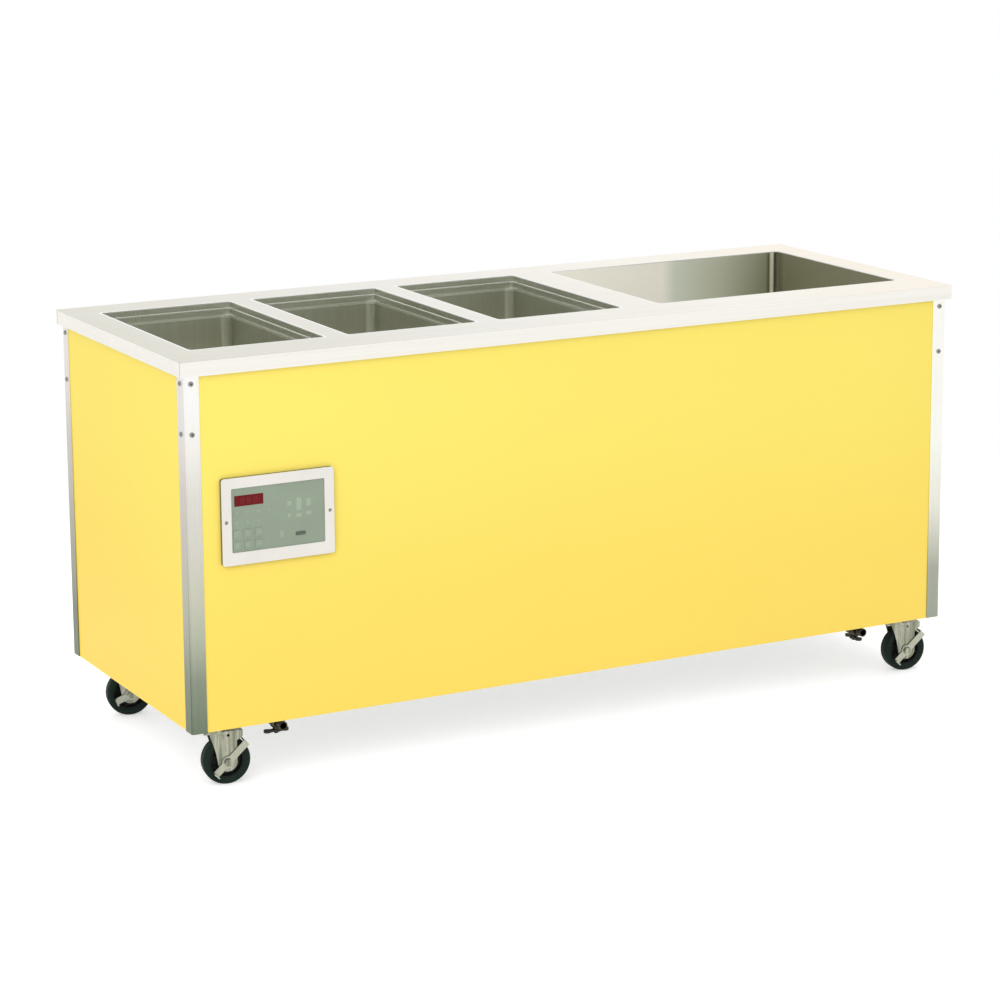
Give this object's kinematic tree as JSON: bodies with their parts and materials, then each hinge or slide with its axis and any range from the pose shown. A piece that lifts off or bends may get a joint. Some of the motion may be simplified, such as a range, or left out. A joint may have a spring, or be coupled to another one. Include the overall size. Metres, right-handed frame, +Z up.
{
  "type": "hot and cold food station",
  "caption": "Mobile serving counter with deep heated wells and a refrigerated pan let into a stainless top, a yellow panelled cabinet, a flush control panel and braked swivel casters.",
  "frame": {"origin": "on the floor under the middle of the countertop", "axes": "+X along the length from the hot wells to the cold pan, +Y from the control side to the back, +Z up"},
  "size_m": [1.88, 0.711, 0.914],
  "materials": {
    "counter_steel": "fine brushed stainless steel",
    "basin_steel": "drawn stainless steel, satin",
    "cold_pan_steel": "bright brushed stainless steel",
    "post_steel": "brushed stainless steel, upright grain",
    "frame_steel": "galvanised sheet and angle",
    "panel_yellow": "smooth satin yellow powder coat",
    "screw_steel": "plain stainless steel",
    "copper": "drawn copper, slightly dulled",
    "valve_brass": "cast brass with a dark oxide finish",
    "handle_black": "black moulded plastic",
    "glass_fibre": "glass-fibre board",
    "foam": "rigid foam",
    "element_steel": "heat-darkened steel tube",
    "machine_black": "black enamel",
    "coil_fins": "plain fins",
    "fan_blue": "moulded plastic",
    "grille_aluminium": "satin anodised",
    "bezel_grey": "satin moulded plastic",
    "overlay_grey": "fine-textured membrane",
    "window_red": "dark red filter",
    "lens_pale": "clear lens",
    "key_grey": "fine-textured plastic",
    "key_dark": "dark fine-textured plastic",
    "board_green": "printed circuit board",
    "gland_black": "black moulded plastic",
    "zinc": "bright zinc plate",
    "tyre_rubber": "dark green-black rubber"
  },
  "bodies": {
    "cabinet": {"countertop": "counter_steel", "top_frame": "frame_steel", "uprights": "frame_steel", "base_pan": "frame_steel", "corner_posts": "post_steel", "front_panel": "panel_yellow", "rear_panel": "panel_yellow", "left_panel": "panel_yellow", "right_panel": "panel_yellow", "post_screws": "screw_steel", "hot_well_1": "basin_steel", "hot_well_2": "basin_steel", "hot_well_3": "basin_steel", "well_insulation": "glass_fibre", "heating_elements": "element_steel", "temperature_probes": "copper", "hot_drain_pipe": "copper", "cold_drain_pipe": "copper", "drain_valves": "valve_brass", "cold_pan": "cold_pan_steel", "cold_pan_insulation": "foam", "refrigerant_tubing": "copper", "cooling_unit_base": "frame_steel", "compressor": "machine_black", "condenser_coil": "coil_fins", "fan_shroud": "frame_steel", "fan_motor": "machine_black", "rear_grille": "grille_aluminium", "control_bezel": "bezel_grey", "control_overlay": "overlay_grey", "display_window": "window_red", "indicator_lenses": "lens_pale", "control_board": "board_green", "control_box": "frame_steel", "bezel_screws": "screw_steel", "cord_gland": "gland_black", "caster_plates": "zinc", "caster_bolts": "screw_steel"},
    "caster_front_left": {"fork_front_left": "zinc"},
    "wheel_front_left": {"wheel_front_left": "tyre_rubber"},
    "brake_front_left": {"brake_front_left": "zinc"},
    "caster_front_right": {"fork_front_right": "zinc"},
    "wheel_front_right": {"wheel_front_right": "tyre_rubber"},
    "brake_front_right": {"brake_front_right": "zinc"},
    "caster_rear_left": {"fork_rear_left": "zinc"},
    "wheel_rear_left": {"wheel_rear_left": "tyre_rubber"},
    "brake_rear_left": {"brake_rear_left": "zinc"},
    "caster_rear_right": {"fork_rear_right": "zinc"},
    "wheel_rear_right": {"wheel_rear_right": "tyre_rubber"},
    "brake_rear_right": {"brake_rear_right": "zinc"},
    "hot_valve_handle": {"hot_valve_handle": "handle_black"},
    "cold_valve_handle": {"cold_valve_handle": "handle_black"},
    "fan": {"fan_blade": "fan_blue"},
    "key_well_1": {"key_well_1": "key_grey"},
    "key_well_2": {"key_well_2": "key_grey"},
    "key_well_3": {"key_well_3": "key_grey"},
    "key_cold": {"key_cold": "key_grey"},
    "key_down": {"key_down": "key_grey"},
    "key_up": {"key_up": "key_grey"},
    "key_power": {"key_power": "key_dark"}
  },
  "joints": [
    {"name": "swivel_front_left", "type": "hinge", "parent": "cabinet", "child": "caster_front_left", "pos_m": [-0.855, -0.275, 0.115], "axis": [0, 0, 1], "continuous": true},
    {"name": "roll_front_left", "type": "hinge", "parent": "caster_front_left", "child": "wheel_front_left", "pos_m": [-0.8313, -0.27875, 0.051], "axis": [0.1564, 0.9877, 0], "continuous": true},
    {"name": "press_brake_front_left", "type": "hinge", "parent": "caster_front_left", "child": "brake_front_left", "pos_m": [-0.8313, -0.27875, 0.051], "axis": [0.1564, 0.9877, 0], "range_deg": [0, 25]},
    {"name": "swivel_front_right", "type": "hinge", "parent": "cabinet", "child": "caster_front_right", "pos_m": [0.855, -0.275, 0.115], "axis": [0, 0, 1], "continuous": true},
    {"name": "roll_front_right", "type": "hinge", "parent": "caster_front_right", "child": "wheel_front_right", "pos_m": [0.8787, -0.27875, 0.051], "axis": [0.1564, 0.9877, 0], "continuous": true},
    {"name": "press_brake_front_right", "type": "hinge", "parent": "caster_front_right", "child": "brake_front_right", "pos_m": [0.8787, -0.27875, 0.051], "axis": [0.1564, 0.9877, 0], "range_deg": [0, 25]},
    {"name": "swivel_rear_left", "type": "hinge", "parent": "cabinet", "child": "caster_rear_left", "pos_m": [-0.855, 0.275, 0.115], "axis": [0, 0, 1], "continuous": true},
    {"name": "roll_rear_left", "type": "hinge", "parent": "caster_rear_left", "child": "wheel_rear_left", "pos_m": [-0.8313, 0.27125, 0.051], "axis": [0.1564, 0.9877, 0], "continuous": true},
    {"name": "press_brake_rear_left", "type": "hinge", "parent": "caster_rear_left", "child": "brake_rear_left", "pos_m": [-0.8313, 0.27125, 0.051], "axis": [0.1564, 0.9877, 0], "range_deg": [-22, 3]},
    {"name": "swivel_rear_right", "type": "hinge", "parent": "cabinet", "child": "caster_rear_right", "pos_m": [0.855, 0.275, 0.115], "axis": [0, 0, 1], "continuous": true},
    {"name": "roll_rear_right", "type": "hinge", "parent": "caster_rear_right", "child": "wheel_rear_right", "pos_m": [0.8787, 0.27125, 0.051], "axis": [0.1564, 0.9877, 0], "continuous": true},
    {"name": "press_brake_rear_right", "type": "hinge", "parent": "caster_rear_right", "child": "brake_rear_right", "pos_m": [0.8787, 0.27125, 0.051], "axis": [0.1564, 0.9877, 0], "range_deg": [0, 25]},
    {"name": "turn_hot_valve", "type": "hinge", "parent": "cabinet", "child": "hot_valve_handle", "pos_m": [-0.72, -0.29, 0.0997], "axis": [0, 0, 1], "range_deg": [0, 90]},
    {"name": "turn_cold_valve", "type": "hinge", "parent": "cabinet", "child": "cold_valve_handle", "pos_m": [0.733, -0.29, 0.0997], "axis": [0, 0, 1], "range_deg": [-90, 0]},
    {"name": "spin_fan", "type": "hinge", "parent": "cabinet", "child": "fan", "pos_m": [0.48, 0.215, 0.2755], "axis": [0, 1, 0], "continuous": true},
    {"name": "press_key_well_1", "type": "slide", "parent": "cabinet", "child": "key_well_1", "axis": [0, 1, 0], "range_m": [0, 0.0006], "stiffness_N_per_m": 1500},
    {"name": "press_key_well_2", "type": "slide", "parent": "cabinet", "child": "key_well_2", "axis": [0, 1, 0], "range_m": [0, 0.0006], "stiffness_N_per_m": 1500},
    {"name": "press_key_well_3", "type": "slide", "parent": "cabinet", "child": "key_well_3", "axis": [0, 1, 0], "range_m": [0, 0.0006], "stiffness_N_per_m": 1500},
    {"name": "press_key_cold", "type": "slide", "parent": "cabinet", "child": "key_cold", "axis": [0, 1, 0], "range_m": [0, 0.0006], "stiffness_N_per_m": 1500},
    {"name": "press_key_down", "type": "slide", "parent": "cabinet", "child": "key_down", "axis": [0, 1, 0], "range_m": [0, 0.0006], "stiffness_N_per_m": 1500},
    {"name": "press_key_up", "type": "slide", "parent": "cabinet", "child": "key_up", "axis": [0, 1, 0], "range_m": [0, 0.0006], "stiffness_N_per_m": 1500},
    {"name": "press_key_power", "type": "slide", "parent": "cabinet", "child": "key_power", "axis": [0, 1, 0], "range_m": [0, 0.0006], "stiffness_N_per_m": 1500}
  ]
}
